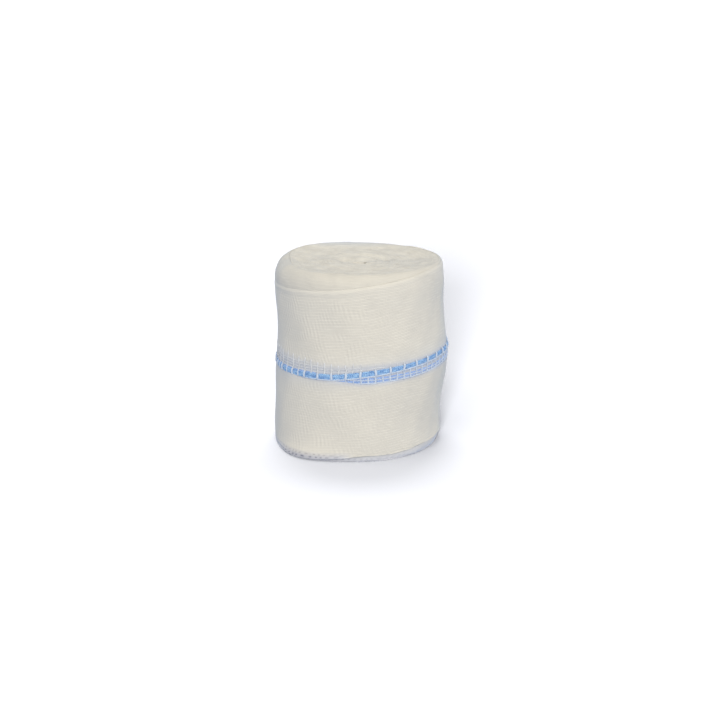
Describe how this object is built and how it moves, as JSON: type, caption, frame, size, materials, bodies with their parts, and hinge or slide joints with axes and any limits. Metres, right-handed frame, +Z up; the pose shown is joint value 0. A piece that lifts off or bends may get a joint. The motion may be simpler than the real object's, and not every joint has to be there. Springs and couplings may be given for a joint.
{
  "type": "gauze bandage roll",
  "caption": "Roll of knitted tubular gauze bandage with a blue marker line, pressed flat, wound up and standing on one end.",
  "frame": {"origin": "middle of the roll's lower end, on the surface that it stands on", "axes": "+Z up along the winding axis, -Y towards the side that the picture shows, +X to its right"},
  "size_m": [0.0705, 0.0689, 0.075],
  "materials": {
    "cotton_gauze": "matt undyed knitted cotton gauze, cream, soft and slightly fuzzy",
    "marker_yarn": "matt blue marker yarn knitted in along the middle of the bandage",
    "crossing_yarn": "matt white fine yarn that crosses and edges the marker line"
  },
  "bodies": {
    "root": {"bandage_roll": "cotton_gauze"}
  },
  "joints": []
}
